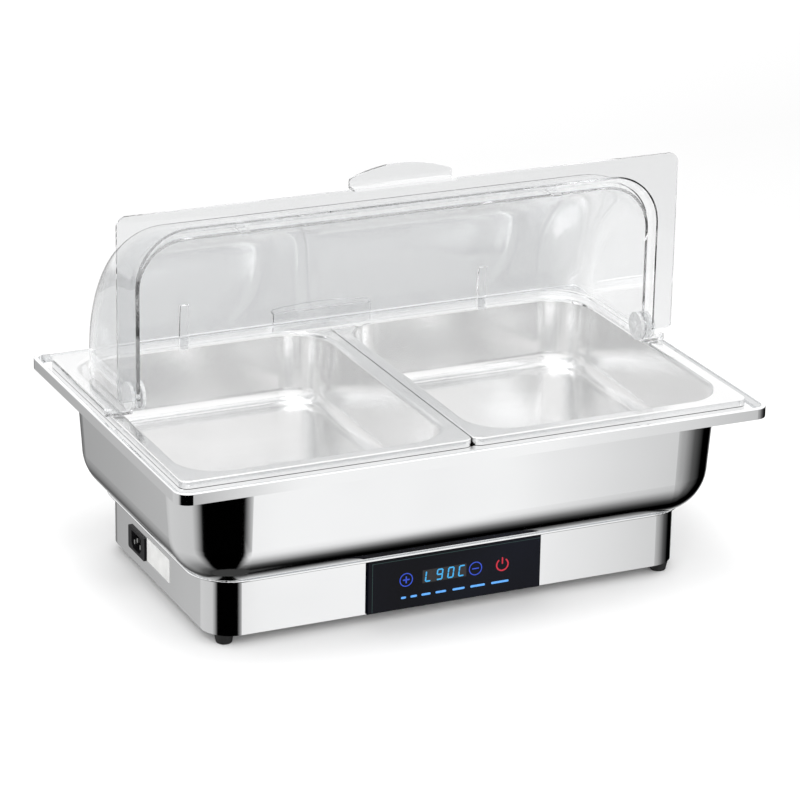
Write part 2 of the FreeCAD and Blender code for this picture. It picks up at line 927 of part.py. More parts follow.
def make_glass():
    """Black glass with a ground edge, bonded to the skirt's face."""
    glass = box(
        -glass_length / 2, glass_length / 2, front_face - glass_thickness, front_face,
        glass_bottom, glass_top,
    )
    outer = front_face - glass_thickness

    def front_edge(edge):
        return edge.BoundBox.YMax < outer + contact_gap

    return glass.makeChamfer(glass_edge, [edge for edge in glass.Edges if front_edge(edge)])


def cable_hole_x():
    """Middle of the hole for the display cable."""
    return housing_half_x - housing_wall - 2 * socket_half


def display_posts():
    """Middles of the posts under the display board."""
    x = housing_half_x - housing_wall - display_post_radius - display_board_margin
    rise = housing_wall + display_post_radius + display_board_margin
    return [
        (side * x, level)
        for side in (-1, 1)
        for level in (housing_bottom + rise, housing_top - rise)
    ]


def make_housing():
    """Tray behind the glass that holds the display board on four posts."""
    body = box(
        -housing_half_x, housing_half_x, front_face, housing_rear, housing_bottom, housing_top
    )
    inner = front_face + skirt_sheet
    flange = box(
        -housing_half_x - housing_flange, housing_half_x + housing_flange,
        inner, inner + housing_flange_thickness,
        housing_bottom - housing_flange, housing_top + housing_flange,
    )
    pocket = box(
        -housing_half_x + housing_wall, housing_half_x - housing_wall, front_face, pocket_rear,
        housing_bottom + housing_wall, housing_top - housing_wall,
    )
    posts = [
        rod(display_post_radius, (x, board_rear, z), (x, pocket_rear, z))
        for x, z in display_posts()
    ]
    tray = body.fuse(flange).cut(pocket)
    hole = rod(
        display_cable_diameter / 2 + hole_clearance,
        (cable_hole_x(), board_rear, touch_z), (cable_hole_x(), housing_rear, touch_z),
    )
    return join([tray] + posts).cut(hole)


def make_display_board():
    """Board behind the glass, with its cable socket on the back."""
    inset = housing_wall + display_board_margin
    board = box(
        -housing_half_x + inset, housing_half_x - inset, board_front, board_rear,
        housing_bottom + inset, housing_top - inset,
    )
    x = cable_hole_x()
    socket = box(
        x - socket_half, x + socket_half, board_rear, board_rear + socket_depth,
        touch_z - socket_half, touch_z + socket_half,
    )
    return join([board, socket])


def make_display_module():
    """Digit display between the board and the glass."""
    return box(
        display_x - display_length / 2, display_x + display_length / 2,
        front_face + display_glass_gap, board_front,
        display_z - display_height / 2, display_z + display_height / 2,
    )


def make_touch_springs():
    """Contact springs between the board and the glass, one per touch mark."""
    springs = []
    for x in touch_centres_x:
        start = (x, front_face, touch_z)
        end = (x, board_front, touch_z)
        spring = rod(touch_spring_radius, start, end)
        springs.append(spring.cut(rod(touch_spring_radius - touch_spring_wall, start, end)))
    return Part.makeCompound(springs)


# Power board
power_board_bottom = floor_level + power_spacer_height
power_board_top = power_board_bottom + board_thickness


def power_spacer_places():
    """Middles of the four spacers under the power board."""
    x0 = power_board_x + power_spacer_inset
    x1 = power_board_x + power_board_width - power_spacer_inset
    y = power_board_half_y - power_spacer_inset
    return [(x, side * y) for x in (x0, x1) for side in (-1, 1)]


def on_board(size, place):
    """Block standing on the power board, placed from the board's inner edge."""
    x = power_board_x + place[0]
    y = place[1]
    return box(x, x + size[0], y, y + size[1], power_board_top, power_board_top + size[2])


def make_power_board():
    """Power board with its two cable sockets."""
    board = box(
        power_board_x, power_board_x + power_board_width,
        -power_board_half_y, power_board_half_y, power_board_bottom, power_board_top,
    )
    board = drilled(
        board, power_spacer_places(), plate_screw_radius + hole_clearance,
        power_board_bottom, power_board_top,
    )
    sockets = [on_board(cable_socket_size, place) for place in cable_socket_place]
    return join([board] + sockets)


def make_spacers():
    """Spacers under the power board."""
    spacers = []
    for x, y in power_spacer_places():
        spacer = rod(power_spacer_radius, (x, y, floor_level), (x, y, power_board_bottom))
        bore = rod(
            plate_screw_radius + hole_clearance, (x, y, floor_level), (x, y, power_board_bottom)
        )
        spacers.append(spacer.cut(bore))
    return Part.makeCompound(spacers)


def make_board_screws():
    """Screws up through the plate, the spacers and the power board, with their nuts."""
    pieces = []
    for x, y in power_spacer_places():
        head = rod(
            plate_screw_head_radius,
            (x, y, skirt_bottom - plate_screw_head_height), (x, y, skirt_bottom),
        )
        top = power_board_top + small_nut_height + stud_tail
        pieces.append(join([head, rod(plate_screw_radius, (x, y, skirt_bottom), (x, y, top))]))
        pieces.append(hex_nut(
            small_nut_flats, small_nut_height, plate_screw_radius + contact_gap,
            x, y, power_board_top,
        ))
    return Part.makeCompound(pieces)


def make_transformer():
    """Small transformer: a wound core between two cheeks."""
    length, width, height = transformer_size
    body = on_board(transformer_size, transformer_place)
    groove = height / 6
    x = power_board_x + transformer_place[0]
    y = transformer_place[1]
    window = box(
        x - contact_gap, x + groove, y + groove, y + width - groove,
        power_board_top + groove, power_board_top + height - groove,
    )
    other = window.translated(Vector(length - groove + contact_gap, 0, 0))
    return body.cut(window).cut(other)


def make_terminal_block():
    """Screw terminals with a row of screw holes on top."""
    length, width, height = terminal_block_size
    block = on_board(terminal_block_size, terminal_block_place)
    pitch = width / terminal_block_ways
    top = power_board_top + height
    x = power_board_x + terminal_block_place[0] + length / 4
    for way in range(terminal_block_ways):
        y = terminal_block_place[1] + (way + 0.5) * pitch
        block = block.cut(rod(terminal_hole_radius, (x, y, top - height / 2), (x, y, top)))
    return block


def make_fuse():
    """Glass fuse with end caps that stand on the board."""
    x = power_board_x + fuse_place[0]
    y = fuse_place[1] - fuse_length / 2
    z = power_board_top + fuse_radius + contact_gap
    tube = rod(
        fuse_radius - 2 * contact_gap, (x, y + fuse_cap_length, z),
        (x, y + fuse_length - fuse_cap_length, z),
    )
    caps = []
    for start in (y, y + fuse_length - fuse_cap_length):
        caps.append(rod(fuse_radius, (x, start, z), (x, start + fuse_cap_length, z)))
        caps.append(box(
            x - fuse_radius / 2, x + fuse_radius / 2, start, start + fuse_cap_length,
            power_board_top, z,
        ))
    return join([tube] + caps)


# Mains inlet
left_face = -skirt_half_x


def inlet_window():
    """Hole in the skirt for the inlet's body."""
    half_y = inlet_body_half_y + inlet_window_gap
    half_z = inlet_body_half_z + inlet_window_gap
    return box(
        left_face - skirt_sheet, left_face + 2 * skirt_sheet,
        inlet_y - half_y, inlet_y + half_y, inlet_z - half_z, inlet_z + half_z,
    )


def inlet_cavity():
    """Socket space with two chamfered lower corners."""
    y0 = inlet_y - inlet_cavity_half_y
    y1 = inlet_y + inlet_cavity_half_y
    z0 = inlet_z - inlet_cavity_half_z
    z1 = inlet_z + inlet_cavity_half_z
    chamfer = inlet_cavity_chamfer
    start = left_face - inlet_plate_thickness
    corners = [
        (y0 + chamfer, z0), (y1 - chamfer, z0), (y1, z0 + chamfer), (y1, z1), (y0, z1),
        (y0, z0 + chamfer), (y0 + chamfer, z0),
    ]
    outline = Part.makePolygon([Vector(start, y, z) for y, z in corners])
    return Part.Face(outline).extrude(Vector(inlet_cavity_depth, 0, 0))


def pin_block(offset, x0, x1, slack):
    """Space of one contact pin, grown by a slack."""
    y = inlet_y + offset[0]
    z = inlet_z + offset[1]
    half_y = pin_half_width + slack
    half_z = pin_half_height + slack
    return box(x0, x1, y - half_y, y + half_y, z - half_z, z + half_z)


def make_inlet():
    """Inlet housing: face plate, body with the socket space, and two snap lugs."""
    plate = box(
        left_face - inlet_plate_thickness, left_face,
        inlet_y - inlet_plate_half_y, inlet_y + inlet_plate_half_y,
        inlet_z - inlet_plate_half_z, inlet_z + inlet_plate_half_z,
    )

    def runs_along_x(edge):
        limits = edge.BoundBox
        return limits.YLength < contact_gap and limits.ZLength < contact_gap

    plate = rounded_edges(plate, inlet_plate_round, runs_along_x)
    body = box(
        left_face, left_face + inlet_body_depth,
        inlet_y - inlet_body_half_y, inlet_y + inlet_body_half_y,
        inlet_z - inlet_body_half_z, inlet_z + inlet_body_half_z,
    )
    lugs = []
    wall = left_face + skirt_sheet
    for side in (-1, 1):
        root = inlet_y + side * inlet_body_half_y
        tip = root + side * (inlet_snap + inlet_window_gap)
        outline = Part.makePolygon([
            Vector(wall, root, inlet_z - inlet_snap_height / 2),
            Vector(wall, tip, inlet_z - inlet_snap_height / 2),
            Vector(wall + inlet_snap_length, root, inlet_z - inlet_snap_height / 2),
            Vector(wall, root, inlet_z - inlet_snap_height / 2),
        ])
        lugs.append(Part.Face(outline).extrude(Vector(0, 0, inlet_snap_height)))
    housing = join([plate, body] + lugs).cut(inlet_cavity())
    rear = left_face + inlet_body_depth
    for offset in pin_offsets:
        housing = housing.cut(pin_block(offset, left_face, rear, contact_gap))
    return housing


def make_pins():
    """Three contact pins through the back of the inlet."""
    rear = left_face + inlet_body_depth
    back_wall = left_face - inlet_plate_thickness + inlet_cavity_depth
    return Part.makeCompound([
        pin_block(offset, back_wall - pin_length, rear + pin_tail, 0.0) for offset in pin_offsets
    ])


def make_boot():
    """Insulating boot over the tails of the pins, which the leads leave."""
    start = left_face + inlet_body_depth
    boot = box(
        start, start + boot_depth, inlet_y - boot_half_y, inlet_y + boot_half_y,
        inlet_z - boot_half_z, inlet_z + boot_half_z,
    )
    for offset in pin_offsets:
        boot = boot.cut(pin_block(offset, start, start + pin_tail, contact_gap))
    return boot


def make_rating_plate():
    """Bare plate on the left-hand end."""
    return box(
        left_face - rating_plate_sheet, left_face,
        rating_plate_y - rating_plate_half_y, rating_plate_y + rating_plate_half_y,
        rating_plate_z - rating_plate_half_z, rating_plate_z + rating_plate_half_z,
    )


def make_earth_stud():
    """Earth screw in the bottom plate, with its lug and nut."""
    x = earth_x
    y = earth_y
    head = rod(
        plate_screw_head_radius,
        (x, y, skirt_bottom - plate_screw_head_height), (x, y, skirt_bottom),
    )
    stud = join([head, rod(earth_stud_radius, (x, y, skirt_bottom), (x, y, floor_level + earth_stud_height))])
    lug = rod(lug_radius, (x, y, floor_level), (x, y, floor_level + lug_sheet))
    barrel = box(
        x - earth_lead_diameter / 2, x + earth_lead_diameter / 2, y, y + 2 * lug_radius,
        floor_level, floor_level + lug_sheet,
    )
    lug = join([lug, barrel]).cut(
        rod(earth_stud_radius + contact_gap, (x, y, floor_level), (x, y, floor_level + lug_sheet))
    )
    nut = hex_nut(
        large_nut_flats, large_nut_height, earth_stud_radius + contact_gap,
        x, y, floor_level + lug_sheet,
    )
    return Part.makeCompound([stud, lug, nut])


def lead_path(name, points, diameter):
    """Wire of straight runs joined by tangent arcs, with its least radius printed."""
    nodes = [Vector(*point) for point in points]
    edges = []
    radii = []
    last = nodes[0]
    for index in range(1, len(nodes) - 1):
        before = nodes[index] - nodes[index - 1]
        after = nodes[index + 1] - nodes[index]
        reach = arc_share * min(before.Length, after.Length)
        turn = before.getAngle(after)
        radius = reach / math.tan(turn / 2)
        radii.append(radius)
        entry = nodes[index] - before.normalize() * reach
        leave = nodes[index] + after.normalize() * reach
        inward = (after - before).normalize()
        middle = nodes[index] + inward * radius * (1 / math.cos(turn / 2) - 1)
        edges.append(Part.LineSegment(last, entry).toShape())
        edges.append(Part.Arc(entry, middle, leave).toShape())
        last = leave
    edges.append(Part.LineSegment(last, nodes[-1]).toShape())
    print(name, "least bend radius", round(min(radii), 1), "in diameters",
          round(min(radii) / diameter, 1))
    return Part.Wire(edges)


def make_lead(name, points, diameter):
    """Round lead along a path, checked against its section times its length."""
    path = lead_path(name, points, diameter)
    direction = Vector(*points[1]) - Vector(*points[0])
    profile = Part.Wire(Part.makeCircle(diameter / 2, Vector(*points[0]), direction))
    lead = path.makePipeShell([profile], True, False)
    expected = math.pi * (diameter / 2) ** 2 * path.Length
    print(name, "volume share", round(lead.Volume / expected, 4))
    return lead


# Routes of the wires. Each one starts and ends square to the piece that holds it.
boot_rear = left_face + inlet_body_depth + boot_depth
boot_step = boot_half_z / 2
block_x = power_board_x + terminal_block_place[0]
block_y = terminal_block_place[1] + terminal_block_size[1] / 2
block_z = power_board_top + terminal_block_size[2] / 2
block_top = power_board_top + terminal_block_size[2]
socket_x = power_board_x + cable_socket_place[0][0]
socket_z = power_board_top + cable_socket_size[2] / 2
socket_y = [place[1] + cable_socket_size[1] / 2 for place in cable_socket_place]
mains_z = floor_level + clip_base + clip_gap + mains_lead_diameter / 2

mains_span = block_x - boot_rear
mains_sweep = skirt_inner_y - mains_margin - inlet_y
mains_route = [
    (boot_rear, inlet_y, inlet_z - boot_step),
    (boot_rear + square_run, inlet_y, inlet_z - boot_step),
]
for along, aside, above in mains_shares:
    mains_route.append((boot_rear + along * mains_span, inlet_y + aside * mains_sweep, mains_z + above))
mains_route += [
    (block_x - square_run, block_y, block_z),
    (block_x, block_y, block_z),
]
cable_x = cable_hole_x()
display_route = [
    (cable_x, board_rear + socket_depth, touch_z),
    (cable_x, housing_rear + 5, touch_z),
    (cable_x + 5, housing_rear + 14, touch_z - 5),
    (cable_x + 17, housing_rear + 23, touch_z - 13),
    (cable_x + 39, housing_rear + 31, touch_z - 19),
    (cable_x + 66, housing_rear + 43, socket_z - 4),
    (socket_x - 15, socket_y[0] - 7, socket_z - 2),
    (socket_x - 5, socket_y[0], socket_z),
    (socket_x, socket_y[0], socket_z),
]
probe_end = probe_x + probe_length / 2
probe_z = tub_bottom - contact_gap - probe_radius
probe_route = [
    (probe_end, probe_y, probe_z),
    (probe_end + 8, probe_y, probe_z),
    (probe_end + 18, probe_y - 2, probe_z - 5),
    (probe_end + 27, probe_y - 3, probe_z - 13),
    (probe_end + 37, probe_y - 2, probe_z - 22),
    (probe_end + 52, probe_y + 6, socket_z + 6),
    (probe_end + 70, probe_y + 21, socket_z + 6),
    (socket_x - 17, socket_y[1] - 10, socket_z + 4),
    (socket_x - 7, socket_y[1], socket_z),
    (socket_x, socket_y[1], socket_z),
]
terminal_end = element_end_x + ceramic_length + terminal_length
heater_route = [
    (terminal_end, element_leg_y, element_z),
    (terminal_end + 8, element_leg_y, element_z),
    (terminal_end + 14, element_leg_y - 3, element_z - 6),
    (terminal_end + 15, element_leg_y - 7, block_top + 6),
    (terminal_end + 15, element_leg_y - 7, block_top),
]
cutout_tab_y = cutout_radius + terminal_length / 2
cutout_wire_z = cutout_level() + bracket_sheet + terminal_thickness / 2
series_route = [
    (terminal_end, -element_leg_y, element_z),
    (terminal_end + 6, -element_leg_y, element_z),
    (cutout_x - 1, -element_leg_y + 8, cutout_wire_z),
    (cutout_x, -cutout_tab_y - 12, cutout_wire_z - 1),
    (cutout_x, -cutout_tab_y, cutout_wire_z - 1),
]
return_route = [
    (cutout_x, cutout_tab_y, cutout_wire_z),
    (cutout_x, cutout_tab_y + 6, cutout_wire_z),
    (cutout_x + 2, cutout_tab_y + 12, cutout_wire_z - 5),
    (cutout_x + 3, cutout_tab_y + 14, block_top + 6),
    (cutout_x + 3, cutout_tab_y + 14, block_top),
]
lug_end = earth_y + 2 * lug_radius
earth_route = [
    (boot_rear, inlet_y, inlet_z + boot_step),
    (boot_rear + 8, inlet_y, inlet_z + boot_step),
    (boot_rear + 15, inlet_y - 4, inlet_z - 1.0),
    (boot_rear + 14, inlet_y - 10, inlet_z - 10.0),
    (earth_x + 1, lug_end + 5, floor_level + 4.0),
    (earth_x, lug_end, floor_level + lug_sheet / 2 + earth_lead_diameter / 2),
]


def make_heater_leads():
    """Leads from the element and the cut-out to the terminal block."""
    return Part.makeCompound([
        make_lead("heater lead", heater_route, heater_lead_diameter),
        make_lead("series lead", series_route, heater_lead_diameter),
        make_lead("return lead", return_route, heater_lead_diameter),
    ])


def make_clips():
    """Saddles on the bottom plate that hold the mains lead."""
    clips = []
    radius = mains_lead_diameter / 2 + clip_gap
    for start, end in ((4, 5), (6, 7)):
        first = Vector(*mains_route[start])
        second = Vector(*mains_route[end])
        middle = (first + second) / 2
        half = radius + clip_wall
        block = box(
            -clip_length / 2, clip_length / 2, -half, half, floor_level - middle.z, half
        )
        bore = rod(radius, (-clip_length, 0, 0), (clip_length, 0, 0))
        clip = block.cut(bore)
        run = second - first
        angle = math.degrees(math.atan2(run.y, run.x))
        clip.rotate(Vector(0, 0, 0), Z_AXIS, angle)
        clip.translate(middle)
        clips.append(clip)
    return Part.makeCompound(clips)


# Roll-top cover. Both halves are drawn closed, with the pivot axis through the origin.
def dome(half_x, radius, corner):
    """Solid of revolution about the pivot axis with flat ends and round shoulders."""
    slant = corner * (1 - math.sin(math.pi / 4))
    shoulder = Vector(half_x - corner, 0, radius)
    bend = Vector(half_x - slant, 0, radius - slant)
    end = Vector(half_x, 0, radius - corner)

    def mirrored(point):
        return Vector(-point.x, 0, point.z)

    edges = [
        Part.LineSegment(Vector(-half_x, 0, 0), Vector(half_x, 0, 0)).toShape(),
        Part.LineSegment(Vector(half_x, 0, 0), end).toShape(),
        Part.Arc(end, bend, shoulder).toShape(),
        Part.LineSegment(shoulder, mirrored(shoulder)).toShape(),
        Part.Arc(mirrored(shoulder), mirrored(bend), mirrored(end)).toShape(),
        Part.LineSegment(mirrored(end), Vector(-half_x, 0, 0)).toShape(),
    ]
    return Part.Face(Part.Wire(edges)).revolve(Vector(0, 0, 0), X_AXIS, 360)


def dome_shell(half_x, radius, corner, y0, y1):
    """Upper part of the dome's wall between two upright planes."""
    reach = radius + dome_margin_y
    wall = cover_wall
    shell = dome(half_x, radius, corner).cut(dome(half_x - wall, radius - wall, corner - wall))
    return shell.common(box(-reach * 2, reach * 2, y0, y1, 0, reach))


def base_ring(levels, side):
    """Wall between stacked outlines, kept on one side of the parting line."""
    outer = loft([rounded_outline(x, y, corner, z) for z, x, y, corner in levels])
    wall = cover_wall
    inner = loft([
        rounded_outline(x - wall, y - wall, corner - wall, z) for z, x, y, corner in levels
    ])
    return half_of(outer.cut(inner), side)


def half_of(shape, side):
    """Part of a shape beyond the parting line on the rear (1) or front (-1) side."""
    reach = 2 * cover_half_x
    limits = sorted((side * half_parting, side * reach))
    return shape.common(box(-reach, reach, limits[0], limits[1], -reach, reach))


def make_flange(foot_x, foot_y, foot_corner, side):
    """Flat flange round the foot of one half, with rounded arm ends."""
    low = -pivot_rise
    wall = cover_wall
    plate = rounded_block(cover_half_x, cover_half_y, cover_corner, low, low + wall)
    plate = plate.cut(rounded_block(
        foot_x - wall, foot_y - wall, foot_corner - wall, low, low + wall
    ))
    plate = half_of(plate, side)

    def arm_corner(edge):
        limits = edge.BoundBox
        at_end = abs(limits.YMin - side * half_parting) < contact_gap
        outside = max(abs(limits.XMin), abs(limits.XMax)) > cover_half_x - contact_gap
        return is_upright(edge) and at_end and outside

    return rounded_edges(plate, arm_end_round, arm_corner)


def make_tab(side):
    """Grip: a riser on the flange's edge with an arched ledge."""
    low = -pivot_rise
    top = low + tab_riser
    wall = cover_wall
    root = cover_half_y - wall
    riser = box(-tab_half, tab_half, root, cover_half_y, low, top)
    corner = Vector(tab_half, cover_half_y + tab_end_reach, top - wall)
    peak = Vector(0, cover_half_y + tab_reach, top - wall)
    opposite = Vector(-corner.x, corner.y, corner.z)
    edges = [
        Part.LineSegment(Vector(-tab_half, root, top - wall), Vector(tab_half, root, top - wall)).toShape(),
        Part.LineSegment(Vector(tab_half, root, top - wall), corner).toShape(),
        Part.Arc(corner, peak, opposite).toShape(),
        Part.LineSegment(opposite, Vector(-tab_half, root, top - wall)).toShape(),
    ]
    ledge = Part.Face(Part.Wire(edges)).extrude(Vector(0, 0, wall))

    def outer_corner(edge):
        return is_upright(edge) and edge.BoundBox.YMin > cover_half_y + contact_gap

    ledge = rounded_edges(ledge, tab_round, outer_corner)
    tab = riser.fuse(ledge).removeSplitter()
    if side < 0:
        tab.rotate(Vector(0, 0, 0), Z_AXIS, 180)
    return tab


def make_ribs(radius, depth, side):
    """Two upright ribs on the inside of the wall, above the flange."""
    low = -pivot_rise + cover_wall
    block = dome(dome_half_x, radius + contact_gap, dome_corner).cut(
        dome(dome_half_x, radius - depth, dome_corner)
    )
    ribs = []
    for x in (-rib_x, rib_x):
        y0, y1 = sorted((side * half_parting, side * 2 * radius))
        zone = box(x - rib_width / 2, x + rib_width / 2, y0, y1, low, low + rib_height)
        ribs.append(block.common(zone))
    return ribs


def end_discs(radius, x0, x1):
    """Round discs on both ends of the pivot axis."""
    return [rod(radius, (side * x0, 0, 0), (side * x1, 0, 0)) for side in (-1, 1)]


def cut_all(shape, tools):
    """Shape less several others."""
    for tool in tools:
        shape = shape.cut(tool)
    return shape


def make_cover_rear():
    """Fixed rear half, the inner of the two nested shells."""
    half_x = dome_half_x - inner_step
    radius = dome_radius - inner_step
    corner = dome_corner - inner_step
    foot_x = half_x + rear_base_spread_x
    foot_y = radius + rear_base_spread_y
    foot_corner = corner + rear_base_spread_x
    shell = dome_shell(half_x, radius, corner, -rear_lap, radius + dome_margin_y)
    upper = base_ring([(-rear_straight_base, half_x, radius, corner), (0, half_x, radius, corner)], 1)
    lower = base_ring(
        [(-pivot_rise, foot_x, foot_y, foot_corner), (-rear_straight_base, half_x, radius, corner)], 1
    )
    flange = make_flange(foot_x, foot_y, foot_corner, 1)
    hubs = end_discs(hub_radius, half_x - cover_wall, half_x)
    bosses = end_discs(pivot_boss_radius, half_x, half_x + nest_gap - pivot_side_gap)
    relief = end_discs(hub_radius + hub_relief_gap, half_x + nest_gap - pivot_side_gap, cover_half_x)
    pegs = [
        rod(peg_radius, (side * (cover_half_x + peg_offset_x), peg_offset_y, -pivot_rise),
            (side * (cover_half_x + peg_offset_x), peg_offset_y, -pivot_rise + peg_height))
        for side in (-1, 1)
    ]
    lower = cut_all(lower, relief)
    ribs = make_ribs(radius - cover_wall, rear_rib_depth, 1)
    cover = join([shell, upper, lower, flange, make_tab(1)] + hubs + bosses + pegs + ribs)
    cover = cut_all(cover, end_discs(pivot_radius + contact_gap, half_x - cover_wall, cover_half_x))
    cover.translate(Vector(0, 0, pivot_z))
    return cover


def make_cover_front():
    """Front half, the outer shell, rolled back over the rear half."""
    half_x = dome_half_x
    radius = dome_radius
    corner = dome_corner
    foot_y = radius + front_base_spread
    shell = dome_shell(half_x, radius, corner, -radius - dome_margin_y, front_lap)
    base = base_ring([(-pivot_rise, half_x, foot_y, corner), (0, half_x, radius, corner)], -1)
    flange = make_flange(half_x, foot_y, corner, -1)
    hubs = end_discs(hub_radius, half_x - cover_wall, half_x)
    ribs = make_ribs(radius - cover_wall, front_rib_depth, -1)
    cover = join([shell, base, flange, make_tab(-1)] + hubs + ribs)
    cover = cut_all(cover, end_discs(pivot_radius + pivot_gap, half_x - cover_wall, cover_half_x))
    cover.rotate(Vector(0, 0, 0), X_AXIS, -90)
    cover.translate(Vector(0, 0, pivot_z))
    return cover


def faceted_head(x0, x1):
    """Many-sided clear cap on the pivot axis."""
    points = []
    for index in range(pivot_facets + 1):
        angle = 2 * math.pi * index / pivot_facets
        points.append(Vector(x0, pivot_head_radius * math.cos(angle), pivot_head_radius * math.sin(angle)))
    return Part.Face(Part.makePolygon(points)).extrude(Vector(x1 - x0, 0, 0))


def make_rivet(side):
    """Pivot through both halves, with a cap at each end."""
    inner = dome_half_x - inner_step - cover_wall
    outer = dome_half_x + pivot_side_gap
    inside_cap = faceted_head(inner - pivot_head_thickness, inner)
    outside_cap = faceted_head(outer, outer + pivot_head_thickness)
    shank = rod(pivot_radius, (inner, 0, 0), (outer, 0, 0))
    rivet = join([inside_cap, outside_cap, shank])
    if side < 0:
        rivet.rotate(Vector(0, 0, 0), Z_AXIS, 180)
    rivet.translate(Vector(0, 0, pivot_z))
    return rivet


def build():
    """Every node with its shape."""
    nodes = {
        "water_tub": make_tub(),
        "base_skirt": make_skirt(),
        "bottom_plate": make_bottom_plate(),
        "bottom_plate_screws": Part.makeCompound(screws_from_below(plate_screw_places())),
        "foot_screws": make_foot_screws(),
        "foot_nuts": make_foot_nuts(),
        "base_studs": make_base_studs(),
        "base_nuts": make_base_nuts(),
        "heat_spreader": make_spreader(),
        "heating_element": make_element(),
        "element_ceramics": make_ceramics(),
        "element_terminals": make_element_terminals(),
        "heater_studs": make_heater_studs(),
        "clamp_bars": make_clamp_bars(),
        "clamp_nuts": nuts_on_heater_studs(clamp_nut_bottom),
        "insulation_pad": make_pad(),
        "heat_shield": make_shield(),
        "shield_nuts": nuts_on_heater_studs(shield_nut_bottom),
        "thermal_cutout": make_cutout(),
        "cutout_bracket": make_cutout_bracket(),
        "temperature_probe": make_probe(),
        "probe_clip": make_probe_clip(),
        "control_glass": make_glass(),
        "panel_housing": make_housing(),
        "display_board": make_display_board(),
        "display_module": make_display_module(),
        "touch_springs": make_touch_springs(),
        "power_board": make_power_board(),
        "board_spacers": make_spacers(),
        "board_screws": make_board_screws(),
        "transformer": make_transformer(),
        "relay": on_board(relay_size, relay_place),
        "terminal_block": make_terminal_block(),
        "fuse": make_fuse(),
        "inlet_housing": make_inlet(),
        "inlet_pins": make_pins(),
        "inlet_boot": make_boot(),
        "rating_plate": make_rating_plate(),
        "earth_stud": make_earth_stud(),
        "mains_lead": make_lead("mains lead", mains_route, mains_lead_diameter),
        "heater_leads": make_heater_leads(),
        "display_cable": make_lead("display cable", display_route, display_cable_diameter),
        "probe_lead": make_lead("probe lead", probe_route, probe_lead_diameter),
        "earth_lead": make_lead("earth lead", earth_route, earth_lead_diameter),
        "cable_clips": make_clips(),
        "food_pan_left": make_pan(-1),
        "food_pan_right": make_pan(1),
        "cover_rear": make_cover_rear(),
        "cover_front": make_cover_front(),
        "pivot_rivet_left": make_rivet(-1),
        "pivot_rivet_right": make_rivet(1),
    }
    for name, (x, y) in foot_places().items():
        nodes["foot_" + name] = make_foot(x, y)
    return nodes


os.makedirs("parts", exist_ok=True)
for node, shape in build().items():
    shape.exportStep("parts/" + node + ".step")
    print(node, "solids", len(shape.Solids), "volume", round(shape.Volume, 1))
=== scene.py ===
"""Looks of the electric buffet warmer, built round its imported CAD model. Metres, origin on the floor."""

import json
import math

import bmesh
import bpy
from mathutils import Matrix, Vector


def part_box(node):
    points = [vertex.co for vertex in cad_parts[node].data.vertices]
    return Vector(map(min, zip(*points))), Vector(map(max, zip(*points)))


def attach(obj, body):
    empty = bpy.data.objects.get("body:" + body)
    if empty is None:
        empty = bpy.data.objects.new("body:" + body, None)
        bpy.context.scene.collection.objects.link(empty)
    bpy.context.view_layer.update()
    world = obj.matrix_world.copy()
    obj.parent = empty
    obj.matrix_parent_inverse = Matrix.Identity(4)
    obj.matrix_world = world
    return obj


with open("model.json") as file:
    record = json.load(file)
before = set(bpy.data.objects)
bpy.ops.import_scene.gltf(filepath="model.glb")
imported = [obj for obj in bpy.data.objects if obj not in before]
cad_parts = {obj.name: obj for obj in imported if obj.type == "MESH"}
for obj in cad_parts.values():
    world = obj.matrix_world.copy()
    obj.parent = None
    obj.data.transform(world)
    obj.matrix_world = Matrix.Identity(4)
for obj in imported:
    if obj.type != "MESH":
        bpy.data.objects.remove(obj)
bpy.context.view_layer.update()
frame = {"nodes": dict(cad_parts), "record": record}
nodes = frame["nodes"]
slot_of = {}
for row in frame["record"]["subparts"]:
    slot_of[row["node"]] = row["material_slot"]


# Camera: solved from the rim, the pans and the skirt of the photograph. Angles in radians, lens in mm.

CAMERA_PLACE = Vector((-1.26272, -2.73562, 1.27087))
CAMERA_YAW = -0.434
CAMERA_PITCH = 0.356
CAMERA_ROLL = 0.018
CAMERA_LENS = 163.46


def make_camera():
    yaw, pitch, roll = CAMERA_YAW, CAMERA_PITCH, CAMERA_ROLL
    level = math.cos(pitch)
    ahead = Vector((-math.sin(yaw) * level, math.cos(yaw) * level, -math.sin(pitch)))
    right = Vector((math.cos(yaw), math.sin(yaw), 0))
    up = right.cross(ahead)
    rolled_right = math.cos(roll) * right + math.sin(roll) * up
    rolled_up = -math.sin(roll) * right + math.cos(roll) * up
    data = bpy.data.cameras.new("camera")
    data.sensor_width = 36
    data.lens = CAMERA_LENS
    data.clip_start = 0.05
    data.clip_end = 60
    camera = bpy.data.objects.new("camera", data)
    bpy.context.scene.collection.objects.link(camera)
    turn = Matrix((rolled_right, rolled_up, -ahead)).transposed().to_4x4()
    camera.matrix_world = Matrix.Translation(CAMERA_PLACE) @ turn
    bpy.context.scene.camera = camera


make_camera()


# Material helpers.


def parts_of(tree, vector):
    """The X, Y and Z of a vector."""
    split = tree.nodes.new("ShaderNodeSeparateXYZ")
    tree.links.new(vector, split.inputs[0])
    return split.outputs


def result_of(tree, operation, *values):
    """One step of arithmetic on numbers."""
    node = tree.nodes.new("ShaderNodeMath")
    node.operation = operation
    for socket, value in zip(node.inputs, values):
        tree.links.new(value, socket)
    return node.outputs[0]


